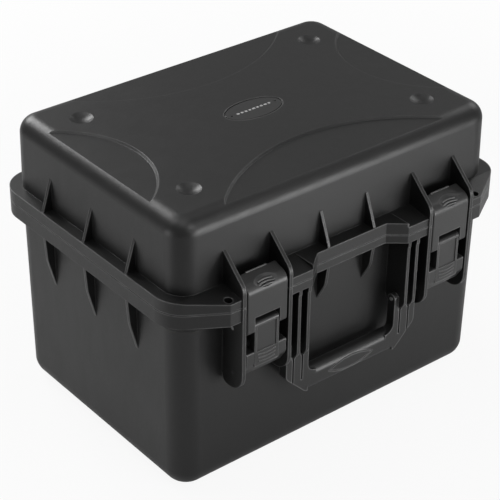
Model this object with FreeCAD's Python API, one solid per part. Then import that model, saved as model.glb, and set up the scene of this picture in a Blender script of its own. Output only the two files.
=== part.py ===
# Hard carrying case for a drone: moulded base and lid, two draw latches, bail handle, foam inside.
# Millimetres, +Z up, front faces -Y. The origin is the centre of the bottom of the closed case.
import math
import os
import FreeCAD
import Part

os.makedirs("parts", exist_ok=True)
Vector = FreeCAD.Vector

# driving sizes of the shells
halfX, halfY = 170.0, 119.0        # body half sizes at the rim
cornerR = 20.0
draft = 0.011                      # inward lean of the walls per mm of height
lidHeight = 77.5                   # above the parting plane
partingZ = 188.0
partingGap = 0.6
footHeight = 1.6
wall = 4.0
flangeX, flangeY = 10.0, 10.5      # how far the flange stands out at the sides and at the back
flangeThick = 11.3
lipDrop = 7.8                      # height of the base lip under the parting plane at the front
lidEdgeR = 14.8
baseEdgeR = 18.0
panelStep = 1.7
gussetThick = 3.2

# front hardware, measured from the front wall and from the pivot
lipOut, ribOut, finOut, centreOut = 24.0, 23.2, 25.5, 12.0
pivotOut, pivotZ = 12.7, 120.0     # common axis of the handle and of the latch links
leverOut, leverRise = 12.3, 43.0   # lever axis, above the link axis
pinR = 1.6
runFit = 0.05
latchX, latchWidth, sideGap = 100.7, 41.0, 1.45
finThick, ribThick = 3.5, 3.0
ribXs = (55.3, 65.1)
padlockX, padlockIn, padlockR = 135.2, 5.8, 3.5
hingeX, hingeR, hingePinR = 95.0, 6.5, 2.5
kneeX = 38.0                       # half length of the set-back middle of the front flange

footX, footY, footR = 126.0, 75.0, 9.6
dimpleR, dimpleDepth = 10.4, 3.4

height = partingZ + lidHeight
flangeTop = partingZ + flangeThick
baseTop = partingZ - partingGap / 2
lidBottom = partingZ + partingGap / 2
lipY, ribY, finY, centreY = -halfY - lipOut, -halfY - ribOut, -halfY - finOut, -halfY - centreOut
pivotY, leverY, leverZ = -halfY - pivotOut, -halfY - leverOut, pivotZ + leverRise
padlockY = lipY + padlockIn
hingeY = halfY + finOut - hingeR   # the case is as deep behind its middle as in front
finXs = (latchX - latchWidth / 2 - sideGap - finThick / 2, latchX + latchWidth / 2 + sideGap + finThick / 2)
bandZ = baseTop - 12.7             # where the base flange turns in towards the wall


def bodyHalf(z):
    lean = draft * abs(z - bandZ + 10.0)
    return halfX - lean, halfY - lean


def plateWire(hx, hy, r, z):
    pts = [(hx - r, -hy), (hx, -hy + r), (hx, hy - r), (hx - r, hy),
           (-hx + r, hy), (-hx, hy - r), (-hx, -hy + r), (-hx + r, -hy)]
    centres = [(hx - r, -hy + r, -45), (hx - r, hy - r, 45), (-hx + r, hy - r, 135), (-hx + r, -hy + r, 225)]
    edges = []
    for i in range(4):
        a, b, after = pts[2 * i], pts[2 * i + 1], pts[(2 * i + 2) % 8]
        cx, cy, ang = centres[i]
        mid = Vector(cx + r * math.cos(math.radians(ang)), cy + r * math.sin(math.radians(ang)), z)
        edges.append(Part.Arc(Vector(a[0], a[1], z), mid, Vector(b[0], b[1], z)).toShape())
        edges.append(Part.makeLine(Vector(b[0], b[1], z), Vector(after[0], after[1], z)))
    return Part.Wire(edges)


def plateLoft(*levels):
    # each level: half x, half y, corner radius, z
    return Part.makeLoft([plateWire(*level) for level in levels], True, True)


def tub(inset, z0, z1, r, edgeR=0.0, edgeAt="bottom"):
    # body volume inset from the outer skin, with one rounded end
    (ax, ay), (bx, by) = bodyHalf(z0), bodyHalf(z1)
    solid = plateLoft((ax - inset, ay - inset, r, z0), (bx - inset, by - inset, r, z1))
    if edgeR:
        z = z0 if edgeAt == "bottom" else z1
        rim = [e for e in solid.Edges if all(abs(v.Z - z) < 0.01 for v in e.Vertexes)]
        solid = solid.makeFillet(edgeR, rim)
    return solid


def box(x0, x1, y0, y1, z0, z1):
    return Part.makeBox(x1 - x0, y1 - y0, z1 - z0, Vector(x0, y0, z0))


def roundedWire(points, place):
    # points: (u, v) or (u, v, radius); each radius rounds that corner
    n = len(points)
    sides = []
    for i in range(n):
        p = Vector(points[i][0], points[i][1], 0)
        r = points[i][2] if len(points[i]) > 2 else 0.0
        if not r:
            sides.append((p, None, p))
            continue
        before = Vector(points[i - 1][0], points[i - 1][1], 0)
        after = Vector(points[(i + 1) % n][0], points[(i + 1) % n][1], 0)
        da, db = (before - p).normalize(), (after - p).normalize()
        half = math.acos(max(-1.0, min(1.0, da.dot(db)))) / 2
        run = r / math.tan(half)
        bis = (da + db).normalize()
        centre = p + bis * (r / math.sin(half))
        sides.append((p + da * run, centre - bis * r, p + db * run))
    edges = []
    for i in range(n):
        a, mid, b = sides[i]
        if mid:
            edges.append(Part.Arc(place(a), place(mid), place(b)).toShape())
        nextStart = sides[(i + 1) % n][0]
        if (nextStart - b).Length > 1e-6:
            edges.append(Part.makeLine(place(b), place(nextStart)))
    return Part.Wire(edges)


def side(points, x0, x1):
    # (y, z) profile swept along X
    wire = roundedWire(points, lambda p: Vector(x0, p.x, p.y))
    return Part.Face(wire).extrude(Vector(x1 - x0, 0, 0))


def plan(points, z0, z1):
    wire = roundedWire(points, lambda p: Vector(p.x, p.y, z0))
    return Part.Face(wire).extrude(Vector(0, 0, z1 - z0))


def end(points, y0, y1):
    # (x, z) profile swept along Y
    wire = roundedWire(points, lambda p: Vector(p.x, y0, p.y))
    return Part.Face(wire).extrude(Vector(0, y1 - y0, 0))


def rod(x0, x1, y, z, r):
    return Part.makeCylinder(r, x1 - x0, Vector(x0, y, z), Vector(1, 0, 0))


def post(x, y, z0, z1, r):
    return Part.makeCylinder(r, z1 - z0, Vector(x, y, z0))


def mirrorX(shape):
    return shape.mirror(Vector(0, 0, 0), Vector(1, 0, 0))


def both(shape):
    return [shape, mirrorX(shape)]


def join(first, others):
    return first.fuse(others).removeSplitter()


def save(name, shape):
    shape.exportStep("parts/" + name + ".step")
    print(name, len(shape.Solids), shape.isValid(), round(shape.Volume / 1000, 1))


# flange outline: a rounded plate with a flare on each front corner that carries the latches
kneeOut = kneeX + 14.6
flareEnd = padlockX + 2.1
cornerX = halfX - 5
flareXY = [(-cornerX, centreY + 5), (-flareEnd, lipY, 2), (-kneeOut, lipY, 1), (-kneeX, centreY), (kneeX, centreY),
           (kneeOut, lipY, 1), (flareEnd, lipY, 2), (cornerX, centreY + 5), (cornerX, -100), (-cornerX, -100)]


def flangePlate(z0, z1):
    size = (halfX + flangeX, halfY + flangeY, cornerR + 8.5)
    return plateLoft(size + (z0,), size + (z1,)).fuse(plan(flareXY, z0, z1))


def latchBays(z0, z1, front):
    return both(box(finXs[0] + finThick / 2, finXs[1] - finThick / 2, finY - 20, front, z0, z1))


# base shell
floorZ = footHeight + wall + 0.4
baseBlock = tub(0, footHeight, baseTop, cornerR)
base = tub(0, footHeight, baseTop, cornerR, baseEdgeR)
sideBand = plateLoft((halfX - 1, halfY - 1, cornerR, bandZ - 11),
                     (halfX + flangeX, halfY + flangeY, cornerR + 8.5, bandZ))
lipUnder = side([(-110, baseTop), (lipY - 5, baseTop), (lipY - 5, baseTop - 9.6), (lipY, baseTop - 9.7),
                 (-halfY - flangeY, bandZ - 0.4), (-halfY + 2, bandZ - 11.5), (-110, bandZ - 11.5)],
                -halfX, halfX)
# below the band the flares run into the front wall before its rounded corners
underX = halfX - cornerR - 4
underXY = [(-underX, -halfY + 1), (-flareEnd, lipY, 2), (-kneeOut, lipY, 1), (-kneeX, centreY), (kneeX, centreY),
           (kneeOut, lipY, 1), (flareEnd, lipY, 2), (underX, -halfY + 1), (underX, -100), (-underX, -100)]
front = plan(flareXY, bandZ, baseTop).fuse(plan(underXY, bandZ - 25, bandZ)).common(lipUnder)
base = base.fuse([sideBand, flangePlate(bandZ, baseTop), front])
base = base.cut(latchBays(bandZ - 25, baseTop + 1, -halfY - 6.5))
lipZ = baseTop - lipDrop
slotEdges = [0.0, ribXs[0] - ribThick / 2, ribXs[0] + ribThick / 2, ribXs[1] - ribThick / 2, ribXs[1] + ribThick / 2,
             finXs[0] - finThick / 2]
for i in (0, 2, 4):
    under = box(slotEdges[i], slotEdges[i + 1], finY - 20, -100, bandZ - 25, lipZ)
    base = base.cut(both(under.cut(baseBlock)))

# fins beside the latches and ribs that carry the handle
additions = []
inY = -halfY + 3
finEnd = pivotZ - 15.3
for x in finXs:
    additions.append(side([(finY, baseTop), (finY, finEnd, 16.4), (-halfY - 1.5, finEnd, 6), (inY, pivotZ), (inY, baseTop)],
                          x - finThick / 2, x + finThick / 2))
for x in ribXs:
    additions.append(side([(ribY, lipZ + 4), (ribY, pivotZ - 10.5, 10.3), (-halfY - 2.5, pivotZ - 10.5, 8),
                           (inY, pivotZ + 4), (inY, lipZ + 4)], x - ribThick / 2, x + ribThick / 2))
additions.append(side([(centreY + 0.5, lipZ + 1), (-halfY - 9, 162, 20), (-halfY + 1, 144), (inY, 150), (inY, lipZ + 1)],
                      23.3, 26.3))
additions = [s for a in additions for s in both(a)]


def baseGusset(reach):
    # (distance out, z) profile under the base flange, for a wall at this distance
    return [(reach + 8.5, bandZ + 2), (reach + 6.5, 150, 40), (reach - 0.7, 123), (reach - 4, 130), (reach - 4, bandZ + 2)]


def lidGusset(reach):
    top = flangeTop + 28.7
    return [(reach + 8.6, flangeTop - 1.3), (reach + 8.4, flangeTop + 0.1), (reach - 0.6, top), (reach - 4, top),
            (reach - 4, flangeTop - 1.3)]


for t in (-60.0, 0.0, 60.0):
    additions += both(end(baseGusset(halfX), t - gussetThick / 2, t + gussetThick / 2))
    additions.append(side(baseGusset(halfY), t - gussetThick / 2, t + gussetThick / 2))

# rear hinge ears on the base: two outside each lid ear
earX = ((-20.0, -10.0), (10.0, 20.0))
for x in (-hingeX, hingeX):
    for e0, e1 in earX:
        web = side([(halfY + 7, bandZ - 9), (halfY + 7, baseTop), (hingeY, baseTop), (hingeY + 4, partingZ - 6),
                    (halfY + 11, bandZ - 7)], x + e0, x + e1)
        additions += [web, rod(x + e0, x + e1, hingeY, partingZ, hingeR)]
for sx in (-1, 1):
    for sy in (-1, 1):
        additions.append(post(sx * footX, sy * footY, 0, footHeight + 1, footR))
base = join(base, additions)

cavity = tub(wall, floorZ, baseTop + 5, cornerR - wall, baseEdgeR - wall)
hingeHoles = [rod(x - 24, x + 24, hingeY, partingZ, hingePinR) for x in (-hingeX, hingeX)]
bores = both(rod(ribXs[0] - 9, finXs[1] + 0.6, pivotY, pivotZ, pinR))
bores += both(rod(finXs[0] - finThick, finXs[1] + finThick, leverY, leverZ, pinR))
padlocks = both(post(padlockX, padlockY, bandZ - 25, flangeTop + 10, padlockR))
base = base.cut([cavity] + hingeHoles + bores + padlocks)

# boss and hole for the pressure valve in the rear wall
valveX, valveZ = 30.0, 148.0
wallOut, wallIn = halfY + 0.4, halfY - wall - 0.8


def barrel(r, y0, y1):
    return Part.makeCylinder(r, y1 - y0, Vector(valveX, y0, valveZ), Vector(0, 1, 0))


base = join(base, [barrel(13.0, wallIn + 1.5, wallOut)]).cut(barrel(7.0, wallIn - 14, wallOut + 10))
save("base_shell", base)

# lid shell
lid = tub(0, lidBottom, height, cornerR - 1.0, lidEdgeR, "top")
lid = lid.fuse(flangePlate(lidBottom, flangeTop))
slopeFall = 3.7                    # the flares fall away towards the front
slope = side([(-halfY - 1, flangeTop + 0.01), (-halfY - 1, flangeTop + 15), (lipY - 15, flangeTop + 15),
              (lipY - 15, flangeTop - slopeFall - 2.4), (lipY, flangeTop - slopeFall)], kneeOut, halfX + 15)
lidBlock = tub(0, lidBottom, height - 30, cornerR - 1.0)
lid = lid.cut(both(slope.cut(lidBlock)))
lid = lid.cut(latchBays(lidBottom - 5, height - 5, -halfY - 7.4))
keeperY = -halfY - 7.4             # front of the lid ridge that the closed lever stands against
ridge = side([(keeperY, flangeTop - 3), (keeperY, flangeTop + 3.7, 1), (keeperY + 2.8, flangeTop + 3.7, 1),
              (keeperY + 2.8, flangeTop - 3)], finXs[0] + 1, finXs[1] - 1)
additions = both(ridge)
finTop = flangeTop + 29.7
for x in finXs:
    additions += both(side([(finY, lidBottom), (finY, flangeTop + 6.7, 12), (-halfY, finTop), (inY, finTop), (inY, lidBottom)],
                           x - finThick / 2, x + finThick / 2))
additions += both(side([(centreY + 0.5, flangeTop - 1.3), (centreY + 1, flangeTop + 1.7), (-halfY, flangeTop + 29.2),
                        (inY, flangeTop + 29), (inY, flangeTop - 1.3)], 23.6, 26.2))
for t in (-60.0, 0.0, 60.0):
    additions += both(end(lidGusset(halfX), t - gussetThick / 2, t + gussetThick / 2))
    additions.append(side(lidGusset(halfY), t - gussetThick / 2, t + gussetThick / 2))
lidEar = earX[1][0] - 0.3
for x in (-hingeX, hingeX):
    web = side([(halfY + 7, lidBottom), (halfY + 7, flangeTop - 0.3), (halfY + 13, flangeTop - 2.3),
                (hingeY + 3, partingZ + 5.7), (hingeY, lidBottom)], x - lidEar, x + lidEar)
    additions += [web, rod(x - lidEar, x + lidEar, hingeY, partingZ, hingeR)]
lid = join(lid, additions)

# top: raised cross between four arc fields, dimples for stacked feet, badge recess
floorTop = height - panelStep
longArcR, endArcR, arcInset = 165.5, 85.0, 57.5


def field(x, y, r):
    # arc field with a sloping edge, so the cross has a bevelled border
    return Part.makeCone(r, r + panelStep + 3, panelStep + 3, Vector(x, y, floorTop))


fields = [field(0, sy * (halfY - arcInset + longArcR), longArcR) for sy in (-1, 1)]
fields += [field(sx * (halfX - 47.5 + endArcR), 0, endArcR) for sx in (-1, 1)]
ballR = (dimpleR ** 2 + dimpleDepth ** 2) / (2 * dimpleDepth)
dimples = []
for sx in (-1, 1):
    for sy in (-1, 1):
        dimples.append(Part.makeSphere(ballR, Vector(sx * footX, sy * footY, height + ballR - dimpleDepth)))
badgeA, badgeB = 28.2, 14.8


def oval(a, b, z0, z1):
    edge = Part.Ellipse(Vector(0, 0, z0), a, b).toShape()
    return Part.Face(Part.Wire([edge])).extrude(Vector(0, 0, z1 - z0))


lidCavity = tub(wall, lidBottom - 5, height - wall - panelStep, cornerR - wall, lidEdgeR - wall + 1, "top")
lidHoles = [rod(x - 24, x + 24, hingeY, partingZ, hingePinR + runFit) for x in (-hingeX, hingeX)]
sealOut, sealWide, sealDeep = 5.8, 3.2, 3.0


def sealRing(z0, z1):
    outer = (halfX + sealOut, halfY + sealOut, cornerR + sealOut)
    inner = tuple(v - sealWide for v in outer)
    return plateLoft(outer + (z0,), outer + (z1,)).cut(plateLoft(inner + (z0 - 1,), inner + (z1 + 1,)))


groove = sealRing(lidBottom - 1, lidBottom + sealDeep)
lid = lid.cut(fields + dimples + [oval(badgeA + 1.2, badgeB + 1.2, height - 1.6, height + 5)])
lid = lid.cut([lidCavity, groove] + lidHoles + padlocks)
save("lid_shell", lid)

save("lid_seal", sealRing(baseTop + 0.02, lidBottom + sealDeep))

badge = oval(badgeA, badgeB, height - 1.6, height - 0.2)
badge = badge.cut([post(sx * 23.6, 0, height - 0.9, height + 1, 1.1) for sx in (-1, 1)])
save("lid_badge", badge)

hingePins = [rod(x - 21, x + 21, hingeY, partingZ, hingePinR) for x in (-hingeX, hingeX)]
save("hinge_pins", Part.makeCompound(hingePins))

# latch: a link on the base carries a lever whose rim meets the lid ridge
x0, x1 = latchX - latchWidth / 2, latchX + latchWidth / 2
tabHalf = min(12.5, latchWidth / 2 - 5)
tab0, tab1 = latchX - tabHalf, latchX + tabHalf
faceY = finY + 0.9                 # front of the link


def footProfile(proud):
    return [(faceY - proud, pivotZ + 21, 1.5), (faceY - proud, pivotZ + 8, 9), (pivotY - 3.8 - proud, pivotZ - 5.2, 6),
            (pivotY + 5.1, pivotZ - 5.2, 5), (pivotY + 5.1, pivotZ + 8, 2), (pivotY - 1.3, pivotZ + 21, 2)]


foot = side(footProfile(0.0), x0, x1)
tab = side([(faceY - 0.2, pivotZ + 6), (faceY - 0.2, leverZ + 5.5, 3.4), (leverY - 4.2, leverZ + 5.5, 3),
            (leverY + 4.8, leverZ + 4.4, 4), (leverY + 4.8, leverZ - 4.4, 4), (leverY - 6.2, leverZ - 10, 4),
            (leverY - 6.2, pivotZ + 10)], tab0, tab1)
recess = box(tab0 + 2.4, tab1 - 2.4, finY - 10, faceY + 0.7, pivotZ + 20, leverZ + 1.5)
link = join(foot, [tab]).cut(recess)
smiles = []
for i in range(4):
    zLow = pivotZ + 15.4 - 3.3 * i
    ring = Part.makeCylinder(34.0, 12, Vector(latchX, finY - 4, zLow + 34), Vector(0, 1, 0))
    ring = ring.cut(Part.makeCylinder(32.9, 14, Vector(latchX, finY - 5, zLow + 34), Vector(0, 1, 0)))
    reach = tabHalf - 3.2 - 0.5 * i
    smiles.append(ring.common(box(latchX - reach, latchX + reach, finY - 4, pivotY - 4, pivotZ, zLow + 6)))
smileBody = side(footProfile(0.65), x0, x1)
link = join(link, [s.common(smileBody) for s in smiles])
hollow = box(tab0 + 3, tab1 - 3, leverY - 8.5, leverY + 10, pivotZ + 21, leverZ - 6)
link = link.cut([hollow, rod(x0 - 1, x1 + 1, pivotY, pivotZ, pinR + runFit), rod(x0 - 1, x1 + 1, leverY, leverZ, pinR)])

rimY, rimZ = keeperY - 0.9, leverZ + 45.2
body = side([(finY, leverZ - 2.5, 4), (finY, rimZ - 4.7, 9), (leverY - 2.7, rimZ - 1.9, 6), (rimY, rimZ, 1.2),
             (rimY, leverZ - 5, 4.5), (leverY - 7.7, leverZ - 5.6, 4)], x0, x1)
edges = [e for e in body.Edges if all(v.Y < rimY - 3 for v in e.Vertexes) and abs(e.Vertexes[0].X - e.Vertexes[-1].X) < 1]
body = body.makeFillet(1.3, edges)
slotTop = leverZ + 11.5
lever = body.cut([box(tab0 - 0.3, tab1 + 0.3, finY - 5, -100, leverZ - 13, slotTop),
                  box(tab0 - 0.3, tab1 + 0.3, finY + 3.9, -100, leverZ - 13, rimZ - 11),
                  box(x0 - 1, x1 + 1, leverY + 5.2, -100, leverZ - 13, leverZ + 7)])
# thumb scoop over the rounded upper front edge, with three raised ribs on its floor
edgeR, leanY, leanZ = 9.0, -0.56, 0.83
topSlope = 2.8 / (leverY - 2.7 - finY)
roundY = finY + edgeR
roundZ = rimZ - 4.7 + edgeR * topSlope - edgeR * (1 + topSlope ** 2) ** 0.5
scoopR, scoopDeep = 30.0, 2.2
scoopOut = edgeR + scoopR - scoopDeep
scoopAt = Vector(latchX, roundY + leanY * scoopOut, roundZ + leanZ * scoopOut)
lever = lever.cut(Part.makeSphere(scoopR, scoopAt))
skin = Part.makeSphere(scoopR, scoopAt).cut(Part.makeSphere(scoopR - 0.8, scoopAt))
thumb = [body.common(box(latchX - 13, latchX + 13, rimY - 1.6, rimY + 1, rimZ - 9, rimZ + 1)),
         rod(latchX - 10.5, latchX + 10.5, rimY - 0.9, rimZ - 0.1, 0.7)]
scoopZ = roundZ + leanZ * (edgeR - scoopDeep)
for rise, reach in ((1.35, 7.2), (0.0, 8.4), (-1.35, 7.2)):
    rib = box(latchX - reach, latchX + reach, finY - 4, roundY + 4, scoopZ + rise - 0.3, scoopZ + rise + 0.3)
    thumb.append(skin.common(rib).common(body))
lever = join(lever, thumb)
lever = lever.cut(rod(x0 - 1, x1 + 1, leverY, leverZ, pinR + runFit))
for name, turn in (("right", lambda s: s), ("left", mirrorX)):
    save("latch_link_" + name, turn(link))
    save("latch_lever_" + name, turn(lever))
    save("lever_pin_" + name, turn(rod(x0 - sideGap + 0.6, x1 + sideGap - 0.6, leverY, leverZ, pinR)))

# short studs pressed in the fins beside each lever pin
studs = [s for x in finXs for s in both(rod(x - finThick / 2 + 0.1, x + finThick / 2 - 0.1, leverY, leverZ, pinR))]
save("fin_studs", Part.makeCompound(studs))

# carry handle: a bail with forked arms between the ribs, and its pins
armIn, armOut = ribXs[0] - 6.9, ribXs[1] + 7.5
gripTop, gripBottom = pivotZ - 30.5, pivotZ - 51.0
handleY = pivotY - 4.5             # front face
gripDeep = 13.5
arm = side([(handleY, gripBottom), (handleY, pivotZ + 4.5, 4.4), (handleY + 9, pivotZ + 4.5, 4.4),
            (handleY + 9, gripBottom)], armIn, armOut)
bevel = armOut - armIn - 2.6
arm = arm.common(end([(armIn, pivotZ + 8), (armIn, gripBottom), (armIn + 2.6, gripBottom, 6),
                      (armOut, gripBottom + bevel, 7), (armOut, pivotZ + 8)], handleY - 5, handleY + 20))
bend = 9.0                         # inside radius between arm and grip
corner = box(armIn - bend, armIn, handleY, handleY + 9, gripTop - 8, gripTop + bend - 2)
corner = corner.cut(Part.makeCylinder(bend, 30, Vector(armIn - bend, handleY - 5, gripTop + bend - 2), Vector(0, 1, 0)))
slots = []
for x in ribXs:
    slots.append(box(x - ribThick / 2 - 0.35, x + ribThick / 2 + 0.35, handleY - 5, handleY + 20, pivotZ - 11.4,
                     pivotZ + 15))
    slots.append(box(x - 0.8, x + 0.8, handleY - 5, handleY + 1.6, gripTop - 6, pivotZ - 10))
arm = arm.cut(slots)
grip = side([(handleY, gripBottom, 5), (handleY, gripTop, 7.5), (handleY + gripDeep, gripTop, 5.5),
             (handleY + gripDeep, gripBottom, 6)], -armIn - 4, armIn + 4)
grip = grip.common(end([(-armIn - 4, gripTop + 5), (-armIn - 4, gripBottom + 1.4), (-armIn - 2.6, gripBottom),
                        (armIn + 2.6, gripBottom), (armIn + 4, gripBottom + 1.4), (armIn + 4, gripTop + 5)],
                       handleY - 5, handleY + 20))
handle = join(grip, both(arm) + both(corner))


def lens(width, tall, y0, y1):
    # pointed oval on the front of the grip
    r = (width ** 2 + tall ** 2) / (4 * tall)
    zMid = (gripTop + gripBottom) / 2 - 0.4
    upper, lower = [Part.makeCylinder(r, y1 - y0, Vector(0, y0, zMid + s * (tall / 2 - r)), Vector(0, 1, 0))
                    for s in (1, -1)]
    return upper.common(lower)


groove = lens(51.0, 12.6, handleY - 3, handleY + 0.9).cut(lens(47.6, 10.6, handleY - 4, handleY + 2))
handle = handle.cut(groove)
handle = handle.cut(both(rod(armIn - 1, armOut + 1, pivotY, pivotZ, pinR + runFit)))
save("carry_handle", handle)

save("handle_pins", Part.makeCompound(both(rod(armIn - 0.6, finXs[0] - 0.1, pivotY, pivotZ, pinR))))
save("link_pins", Part.makeCompound(both(rod(finXs[0] + 0.1, finXs[1] + 0.6, pivotY, pivotZ, pinR))))

# foam: pad on the floor, block with pockets, pad in the lid
foamGap = 0.5
padTop, insertTop, lidFoamZ = floorZ + 20, partingZ - 10, height - 33.5
pad = tub(wall + foamGap, floorZ, padTop, cornerR - wall, baseEdgeR - wall + 0.8)
save("base_foam_pad", pad)
insert = tub(wall + foamGap, padTop, insertTop, cornerR - wall)
pockets = [(-145, 50, -15, 95, 60), (-145, 50, -95, -35, 90)]
pockets += [(70, 145, y, y + 50, 80) for y in (-95, -25, 45)]
for px0, px1, py0, py1, pz in pockets:
    pocket = box(px0, px1, py0, py1, pz, insertTop + 5)
    upright = [e for e in pocket.Edges if abs(e.Vertexes[0].Z - e.Vertexes[1].Z) > 1]
    insert = insert.cut(pocket.makeFillet(8.0, upright))
insert = insert.cut(box(valveX - 13, valveX + 13, wallIn - 8.2, halfY + 6, valveZ - 13, valveZ + 13))
save("foam_insert", insert)
lidFoam = tub(wall + foamGap, lidFoamZ, height - wall - panelStep, cornerR - wall, lidEdgeR - wall + 1.6, "top")
save("lid_foam", lidFoam)

# pressure valve through the rear wall: slotted body with a flange, seal ring, inner nut
valve = join(barrel(11.0, wallOut + 1.0, wallOut + 4.6), [barrel(6.9, wallIn - 5.7, wallOut + 1.0)])
slits = [box(valveX + i * 3.6 - 0.6, valveX + i * 3.6 + 0.6, wallOut + 3.6, wallOut + 10, valveZ - 6, valveZ + 6)
         for i in (-1, 0, 1)]
save("valve_body", valve.cut([barrel(2.4, wallIn - 12, wallIn - 2.2)] + slits))
save("valve_seal", barrel(10.0, wallOut, wallOut + 1.0).cut(barrel(6.9, wallIn - 12, wallOut + 10)))
hexagon = [Vector(valveX + 10 * math.cos(math.radians(60 * i)), wallIn - 4.4,
                  valveZ + 10 * math.sin(math.radians(60 * i))) for i in range(7)]
nut = Part.Face(Part.makePolygon(hexagon)).extrude(Vector(0, 4.3, 0))
save("valve_nut", nut.cut(barrel(6.9, wallIn - 12, wallOut)))
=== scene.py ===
# Drone carrying case: finish for the moulded shells, latches, handle, badge, pins, seal and foam.
import math

import bpy
import bmesh
from mathutils import Matrix, Vector, noise


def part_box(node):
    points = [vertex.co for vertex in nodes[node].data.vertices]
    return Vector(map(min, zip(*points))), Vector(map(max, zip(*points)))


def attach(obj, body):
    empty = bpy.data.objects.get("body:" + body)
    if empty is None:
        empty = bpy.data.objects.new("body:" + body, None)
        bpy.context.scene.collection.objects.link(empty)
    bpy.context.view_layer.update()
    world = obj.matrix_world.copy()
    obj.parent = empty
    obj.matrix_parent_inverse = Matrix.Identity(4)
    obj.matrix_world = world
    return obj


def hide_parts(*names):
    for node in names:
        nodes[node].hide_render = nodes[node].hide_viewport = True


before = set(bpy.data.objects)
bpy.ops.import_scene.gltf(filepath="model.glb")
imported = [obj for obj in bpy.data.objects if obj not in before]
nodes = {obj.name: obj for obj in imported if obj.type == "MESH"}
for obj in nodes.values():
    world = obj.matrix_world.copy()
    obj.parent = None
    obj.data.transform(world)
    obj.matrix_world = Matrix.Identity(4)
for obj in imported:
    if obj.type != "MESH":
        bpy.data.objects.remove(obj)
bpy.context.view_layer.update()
print("frame loaded:", len(nodes), "nodes")


def feed(tree, node, inputs):
    # links or sets inputs by name, where _ stands for a space, or by number as i0, i1 and so on
    for key, value in inputs.items():
        numbered = key[0] == "i" and key[1:].isdigit()
        socket = node.inputs[int(key[1:]) if numbered else key.replace("_", " ")]
        if isinstance(value, Sock):
            tree.links.new(value.link, socket)
        else:
            socket.default_value = value


def grey(value):
    return (value, value, value, 1)


class Sock:
    # a node's output that takes part in Python expressions
    def __init__(self, tree, link):
        self.tree, self.link = tree, link

    def math(self, operation, *values):
        node = self.tree.nodes.new("ShaderNodeMath")
        node.operation = operation
        feed(self.tree, node, {f"i{i}": value for i, value in enumerate(values)})
        return Sock(self.tree, node.outputs[0])

    def __add__(self, other):
        return self.math("ADD", self, other)

    def __radd__(self, other):
        return self.math("ADD", other, self)

    def __sub__(self, other):
        return self.math("SUBTRACT", self, other)

    def __rsub__(self, other):
        return self.math("SUBTRACT", other, self)

    def __mul__(self, other):
        return self.math("MULTIPLY", self, other)

    def __truediv__(self, other):
        return self.math("DIVIDE", self, other)

    def clamp(self):
        node = self.tree.nodes.new("ShaderNodeClamp")
        feed(self.tree, node, {"i0": self})
        return Sock(self.tree, node.outputs[0])


class Graph:
    # a node tree, and one way to add any node that isn't maths
    def __init__(self, tree):
        self.tree = tree

    def node(self, kind, settings=None, out=0, **inputs):
        node = self.tree.nodes.new(kind)
        for key, value in (settings or {}).items():
            if key == "stops":
                for element, (place, shade) in zip(node.color_ramp.elements, value):
                    element.position = place
                    element.color = grey(shade)
            else:
                setattr(node, key, value)
        feed(self.tree, node, inputs)
        return Sock(self.tree, node.outputs[out])

    def ray(self, kind):
        return self.node("ShaderNodeLightPath", out=f"Is {kind} Ray")


class Finish(Graph):
    # a material with one Principled shader, and the nodes that most finishes need
    def __init__(self, name):
        self.material = bpy.data.materials.new(name)
        self.material.use_nodes = True
        super().__init__(self.material.node_tree)
        self.shader = self.tree.nodes["Principled BSDF"]

    def set(self, **inputs):
        feed(self.tree, self.shader, inputs)

    def place(self):
        return self.node("ShaderNodeTexCoord", out="Object")

    def noise(self, scale, detail=2.0, rough=0.5, stretch=None):
        at = self.place()
        if stretch:
            at = self.node("ShaderNodeMapping", Vector=at, Scale=stretch)
        return self.node("ShaderNodeTexNoise", Vector=at, Scale=scale, Detail=detail, Roughness=rough)

    def mix(self, factor, a, b):
        # i6, i7 and out 2 are the node's colour sockets
        return self.node("ShaderNodeMix", {"data_type": "RGBA"}, out=2, i0=factor, i6=a, i7=b)

    def bump(self, heightValue, distance, over=None):
        extra = {"Normal": over} if over else {}
        return self.node("ShaderNodeBump", Height=heightValue, Distance=distance, Strength=1.0, **extra)

    def ramp(self, value, stops):
        return self.node("ShaderNodeValToRGB", {"stops": stops}, Fac=value)


moulding = {
    "broad": 9.0, "patch": 70.0, "patchStretch": (1.0, 1.0, 0.35), "fine": 420.0, "samples": 6,
    "edgeReach": 1.6, "edgeGain": 2.6, "edgeFloor": 0.25, "edgePolish": 0.06,
    "scuffStops": [(0.35, 0.55), (0.65, 1.0)],
    "sheenBroad": 0.08, "sheenPatch": 0.16, "sheenFine": 0.08,
}


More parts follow.
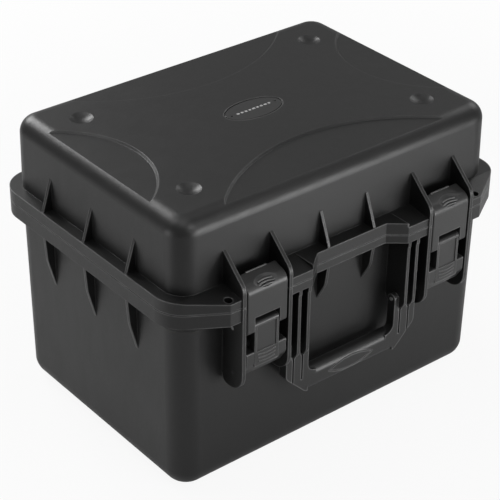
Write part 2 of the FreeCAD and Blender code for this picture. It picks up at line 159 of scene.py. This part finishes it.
def makeMoulded(name, spec):
    # moulded polymer: fine grain, slightly uneven sheen, paler outer edges that are partly rubbed wear and
    # mostly a painted highlight
    finish = Finish(name)
    broad = finish.noise(moulding["broad"], 3.0, 0.55)
    patch = finish.noise(moulding["patch"], 4.0, 0.65, moulding["patchStretch"])
    fine = finish.noise(moulding["fine"], 2.0, 0.6)
    grain = finish.noise(spec["grain"], 2.0, 0.65)
    eased = finish.node("ShaderNodeBevel", {"samples": moulding["samples"]}, Radius=spec["edge"])
    inward = finish.node("ShaderNodeAmbientOcclusion",
                         {"samples": moulding["samples"], "inside": True, "only_local": True},
                         out="AO", Distance=spec["edge"] * moulding["edgeReach"])
    outerEdge = ((1 - inward) * moulding["edgeGain"] - moulding["edgeFloor"]).clamp()
    # paler colour on convex edges, patchy: partly rubbed wear, mostly a painted highlight standing in for
    # light caught on rounded edges
    wearAndEdgeHighlight = outerEdge * finish.ramp(patch, moulding["scuffStops"])
    shade = finish.mix(broad * 0.5 + fine * 0.3 + patch * 0.2, grey(spec["dark"]), grey(spec["light"]))
    rough = spec["rough"] + (broad - 0.5) * moulding["sheenBroad"] + (patch - 0.5) * moulding["sheenPatch"]
    rough = rough + (fine - 0.5) * moulding["sheenFine"] - wearAndEdgeHighlight * moulding["edgePolish"]
    finish.set(Base_Color=finish.mix(wearAndEdgeHighlight, shade, grey(spec["edgeWearAndHighlight"])), Roughness=rough, IOR=1.5)
    finish.set(Normal=finish.bump(grain + fine * 0.5 + patch * 1.5, spec["depth"], over=eased))
    return finish.material


# the pale edge colour of each plastic is partly wear and mostly a painted highlight
shellPlastic = makeMoulded("mouldedShellPlastic", {"dark": 0.004, "light": 0.008, "edgeWearAndHighlight": 0.16, "rough": 0.38,
                                                   "grain": 2600.0, "depth": 0.00007, "edge": 0.0008})
latchPlastic = makeMoulded("latchPlastic", {"dark": 0.022, "light": 0.030, "edgeWearAndHighlight": 0.17, "rough": 0.34,
                                            "grain": 3400.0, "depth": 0.00004, "edge": 0.0006})
handlePlastic = makeMoulded("handlePlastic", {"dark": 0.009, "light": 0.014, "edgeWearAndHighlight": 0.18, "rough": 0.36,
                                              "grain": 3000.0, "depth": 0.00005, "edge": 0.0008})
badgePlastic = makeMoulded("badgePlastic", {"dark": 0.020, "light": 0.028, "edgeWearAndHighlight": 0.05, "rough": 0.34,
                                            "grain": 4200.0, "depth": 0.00002, "edge": 0.0004})


def makeSteel():
    finish = Finish("groundPinSteel")
    rings = finish.noise(900.0, 3.0, 0.6, (9.0, 1.0, 1.0))
    finish.set(Base_Color=finish.mix(rings, grey(0.60), grey(0.80)), Metallic=1.0)
    finish.set(Roughness=0.28 + rings * 0.2, Normal=finish.bump(rings, 0.00002))
    return finish.material


def makeRubber():
    finish = Finish("sealRubber")
    bloom = finish.noise(140.0, 3.0, 0.6)
    finish.set(Base_Color=finish.mix(bloom, grey(0.012), grey(0.022)))
    finish.set(Roughness=0.55 + bloom * 0.15, Normal=finish.bump(bloom, 0.00004))
    return finish.material


def makeFoam():
    finish = Finish("openCellFoam")
    cells = finish.node("ShaderNodeTexVoronoi", {"feature": "F1"}, Vector=finish.place(), Scale=700.0)
    clump = finish.noise(120.0, 4.0, 0.65)
    finish.set(Base_Color=finish.mix(cells * 0.7 + clump * 0.4, grey(0.026), grey(0.075)))
    finish.set(Roughness=0.88 + clump * 0.08, Sheen_Weight=0.15)
    finish.set(Normal=finish.bump(1 - cells + clump * 0.8, 0.0006))
    return finish.material


groundSteel, sealRubber, openCellFoam = makeSteel(), makeRubber(), makeFoam()
print("finishes made")


def bakedMesh(thing):
    return bpy.data.meshes.new_from_object(thing.evaluated_get(bpy.context.evaluated_depsgraph_get()))


def linked(name, mesh):
    thing = bpy.data.objects.new(name, mesh)
    bpy.context.scene.collection.objects.link(thing)
    return thing


foamCut = {"weld": 0.000004, "softenFactor": 0.5, "unevenScale": 60.0}
eggCrate = {"pitch": 0.026, "depth": 0.0075, "skin": 0.004, "border": 0.010}
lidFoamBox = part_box("lid_foam")


def crateLift(place):
    # convoluted underside of the lid foam: rows of soft peaks, flat along the border
    low, high = lidFoamBox
    if place.z > low[2] + eggCrate["skin"]:
        return 0.0
    edge = min(place.x - low[0], high[0] - place.x, place.y - low[1], high[1] - place.y)
    fade = min(max((edge - eggCrate["border"]) / eggCrate["border"], 0.0), 1.0)
    turn = 2 * math.pi / eggCrate["pitch"]
    wave = 0.5 + 0.5 * math.cos(turn * place.x) * math.cos(turn * place.y)
    return eggCrate["depth"] * fade * (1 - wave)


def softBlock(node, spec):
    # the solid's outline, remeshed and with its cut edges softened
    mesh = bpy.data.meshes.new(spec["name"])
    bm = bmesh.new()
    bm.from_mesh(nodes[node].data)
    bmesh.ops.remove_doubles(bm, verts=bm.verts, dist=foamCut["weld"])
    bm.to_mesh(mesh)
    bm.free()
    piece = linked(spec["name"], mesh)
    remesh = piece.modifiers.new("remesh", "REMESH")
    remesh.mode, remesh.voxel_size = "VOXEL", spec["voxel"]
    soften = piece.modifiers.new("soften", "SMOOTH")
    soften.factor, soften.iterations = foamCut["softenFactor"], spec["soften"]
    settled = bakedMesh(piece)
    piece.modifiers.clear()
    piece.data = settled
    bpy.data.meshes.remove(mesh)
    settled.name = spec["name"]
    return piece


def foamPiece(node, body, spec, shape=None):
    # foam block with a slightly uneven skin, and a lift of its own where shape gives one
    piece = softBlock(node, spec)
    mesh = piece.data
    moved = []
    for place, normal in [(vertex.co.copy(), vertex.normal.copy()) for vertex in mesh.vertices]:
        lift = shape(place) if shape else 0.0
        uneven = noise.noise(place * foamCut["unevenScale"]) * spec["uneven"]
        moved.extend(place + normal * min(uneven, 0.0) + Vector((0, 0, lift)))
    mesh.vertices.foreach_set("co", moved)
    mesh.update()
    for polygon in mesh.polygons:
        polygon.use_smooth = True
    mesh.materials.clear()
    mesh.materials.append(openCellFoam)
    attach(piece, body)
    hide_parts(node)


foamPiece("base_foam_pad", "base", {"name": "baseFoamPad", "voxel": 0.0040, "soften": 3, "uneven": 0.0008})
foamPiece("foam_insert", "base", {"name": "cutFoamInsert", "voxel": 0.0030, "soften": 3, "uneven": 0.0008})
foamPiece("lid_foam", "lid", {"name": "convolutedLidFoam", "voxel": 0.0028, "soften": 4, "uneven": 0.0006},
          crateLift)
print("foam pieces made")


def makeDashPaint():
    finish = Finish("paleDashPaint")
    speck = finish.noise(900.0, 3.0, 0.6)
    finish.set(Base_Color=finish.mix(speck, grey(0.42), grey(0.62)))
    finish.set(Roughness=0.42 + speck * 0.12, Normal=finish.bump(speck, 0.00002))
    return finish.material


badgeDash = {"count": 9, "pitch": 0.0042, "length": 0.0030, "radius": 0.00115, "squash": 0.16, "spread": 0.25,
             "seed": 7}
dashPaint = makeDashPaint()


def dashTree():
    # a row of short raised bars, each a flattened round bar with closed ends
    tree = bpy.data.node_groups.new("badgeDashRow", "GeometryNodeTree")
    kinds = {"Pitch": "Float", "Length": "Float", "Radius": "Float", "Squash": "Float", "Spread": "Float",
             "Count": "Int", "Seed": "Int"}
    for name, kind in kinds.items():
        tree.interface.new_socket(name, in_out="INPUT", socket_type="NodeSocket" + kind)
    tree.interface.new_socket("Geometry", in_out="OUTPUT", socket_type="NodeSocketGeometry")
    graph = Graph(tree)
    size = {name: graph.node("NodeGroupInput", out=name) for name in kinds}

    def vector(x, y=0.0, z=0.0):
        return graph.node("ShaderNodeCombineXYZ", X=x, Y=y, Z=z)

    half = size["Length"] * 0.5
    spine = graph.node("GeometryNodeCurvePrimitiveLine", Start=vector(half * -1.0), End=vector(half))
    rim = graph.node("GeometryNodeCurvePrimitiveCircle", Resolution=10, Radius=size["Radius"])
    bar = graph.node("GeometryNodeCurveToMesh", Curve=spine, Profile_Curve=rim, Fill_Caps=True)
    flatBar = graph.node("GeometryNodeTransform", Geometry=bar, Scale=vector(1.0, 1.0, size["Squash"]))
    first = (size["Count"] - 1.0) * size["Pitch"] * -0.5
    points = graph.node("GeometryNodeMeshLine", Count=size["Count"], Start_Location=vector(first),
                        Offset=vector(size["Pitch"]))
    # i2, i3 and out 1 are the node's float sockets
    vary = graph.node("FunctionNodeRandomValue", {"data_type": "FLOAT"}, out=1, i2=1.0 - size["Spread"],
                      i3=1.0, Seed=size["Seed"])
    placed = graph.node("GeometryNodeInstanceOnPoints", Points=points, Instance=flatBar,
                        Scale=vector(vary, 1.0, 1.0))
    real = graph.node("GeometryNodeRealizeInstances", Geometry=placed)
    finished = graph.node("GeometryNodeSetMaterial", Geometry=real, Material=dashPaint)
    feed(tree, tree.nodes.new("NodeGroupOutput"), {"Geometry": finished})
    return tree


def makeBadgeDashes():
    tree = dashTree()
    holder = linked("badgeDashHolder", bpy.data.meshes.new("badgeDashHolder"))
    modifier = holder.modifiers.new("dashes", "NODES")
    modifier.node_group = tree
    sockets = {item.name: item.identifier for item in tree.interface.items_tree if item.in_out == "INPUT"}
    for name, socket in sockets.items():
        modifier[socket] = badgeDash[name.lower()]
    mesh = bakedMesh(holder)
    bpy.data.objects.remove(holder)
    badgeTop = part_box("lid_badge")[1][2]
    mesh.transform(Matrix.Translation((0, 0, badgeTop)))
    mesh.name = "badgeDashes"
    dashes = linked("badgeDashes", mesh)
    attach(dashes, "lid")


makeBadgeDashes()
print("badge dashes made")

finishes = [
    (shellPlastic, ["base_shell", "lid_shell"]),
    (latchPlastic, ["latch_link_left", "latch_link_right", "latch_lever_left", "latch_lever_right",
                    "valve_body", "valve_nut"]),
    (handlePlastic, ["carry_handle"]),
    (badgePlastic, ["lid_badge"]),
    (sealRubber, ["valve_seal", "lid_seal"]),
    (groundSteel, ["hinge_pins", "link_pins", "handle_pins", "lever_pin_left", "lever_pin_right",
                   "fin_studs"]),
]
for material, names in finishes:
    for name in names:
        for slot in nodes[name].material_slots:
            slot.material = material
print("finishes assigned")

studio = {"floor": 14.0, "floorShade": 0.72, "floorRough": 0.8, "glow": 0.92, "shadowReach": 0.55,
          "floorShine": 0.16, "world": 0.01, "shine": 0.36, "lampAim": (0, 0, 0.14)}


def stageFloor():
    # pale floor, close to white in the camera's eye and full white further out, that keeps the shadow
    mesh = bpy.data.meshes.new("studioFloor")
    w = studio["floor"]
    mesh.from_pydata([(-w, -w, 0), (w, -w, 0), (w, w, 0), (-w, w, 0)], [], [(0, 1, 2, 3)])
    floor = linked("studioFloor", mesh)
    finish = Finish("paleFloor")
    finish.set(Base_Color=grey(studio["floorShade"]), Roughness=studio["floorRough"])
    away = finish.node("ShaderNodeVectorMath", {"operation": "LENGTH"}, out="Value", i0=finish.place())
    far = ((away - studio["shadowReach"]) / studio["shadowReach"]).clamp()
    glowHere = studio["glow"] + far * (1 - studio["glow"])
    seen = (finish.ray("Camera") + finish.ray("Transmission")) * glowHere
    seen = seen + finish.ray("Glossy") * studio["floorShine"]
    surface = Sock(finish.tree, finish.shader.outputs[0])
    glow = finish.node("ShaderNodeEmission", Strength=1.0)
    mixed = finish.node("ShaderNodeMixShader", i0=seen, i1=surface, i2=glow)
    feed(finish.tree, finish.tree.nodes["Material Output"], {"Surface": mixed})
    mesh.materials.append(finish.material)


def softbox(name, lamp):
    data = bpy.data.lights.new(name, "AREA")
    data.shape = "SQUARE"
    data.size, data.energy = lamp["size"], lamp["power"]
    box = linked(name, data)
    box.location = lamp["place"]
    aim = Vector(studio["lampAim"]) - Vector(lamp["place"])
    box.rotation_euler = aim.to_track_quat("-Z", "Y").to_euler()
    box.visible_camera = False


lamps = {
    "overheadBox": {"place": (0.00, 0.00, 1.90), "size": 1.2, "power": 3.0},
    "backBox": {"place": (-0.14, 1.30, 1.06), "size": 0.70, "power": 13.5},
    "frontBox": {"place": (0.14, -1.30, 1.06), "size": 0.70, "power": 5.0},
    "rightBox": {"place": (1.30, 0.14, 1.06), "size": 0.70, "power": 3.6},
    "leftHighBox": {"place": (-0.48, -0.58, 1.55), "size": 0.70, "power": 2.2},
    "frontLeftLowBox": {"place": (0.10, -0.75, 0.12), "size": 0.32, "power": 0.7},
    "frontRightLowBox": {"place": (0.40, -0.80, 0.15), "size": 0.32, "power": 2.6},
    "leftLowBox": {"place": (-0.80, 0.10, 0.12), "size": 0.32, "power": 0.8},
    "topLeftBox": {"place": (-0.50, 0.20, 1.00), "size": 0.32, "power": 1.4},
}


def stageWorld():
    # white to the camera, a soft grey in reflections, and nearly dark as a light
    world = bpy.data.worlds.new("studioWorld")
    bpy.context.scene.world = world
    world.use_nodes = True
    sky = Graph(world.node_tree)
    seen = (sky.ray("Camera") + sky.ray("Transmission")).clamp()
    shine = sky.ray("Glossy") * (studio["shine"] - studio["world"])
    level = studio["world"] + seen * (1 - studio["world"]) + shine
    feed(sky.tree, sky.tree.nodes["Background"], {"Color": grey(1), "Strength": level})


stageFloor()
for name, lamp in lamps.items():
    softbox(name, lamp)
stageWorld()

camera = {"place": (-0.83442, -1.01851, 0.94706), "azimuth": -39.1648, "elevation": 32.0426, "roll": 0.7255,
          "sensor": 36.0, "lens": 124.89, "shiftX": 0.0051, "near": 0.05}


def setCamera():
    data = bpy.data.cameras.new("caseCamera")
    data.sensor_width, data.lens = camera["sensor"], camera["lens"]
    data.shift_x, data.clip_start = camera["shiftX"], camera["near"]
    eye = linked("caseCamera", data)
    az, el, roll = (math.radians(camera[k]) for k in ("azimuth", "elevation", "roll"))
    back = Vector((math.sin(az) * math.cos(el), -math.cos(az) * math.cos(el), math.sin(el)))
    right = (-back).cross(Vector((0, 0, 1))).normalized()
    up = right.cross(-back)
    tiltedRight = math.cos(roll) * right + math.sin(roll) * up
    tiltedUp = -math.sin(roll) * right + math.cos(roll) * up
    turn = Matrix((tiltedRight, tiltedUp, back)).transposed().to_4x4()
    eye.matrix_world = Matrix.Translation(camera["place"]) @ turn
    bpy.context.scene.camera = eye


setCamera()
bpy.context.scene.view_settings.view_transform = "Standard"
print("stage set")
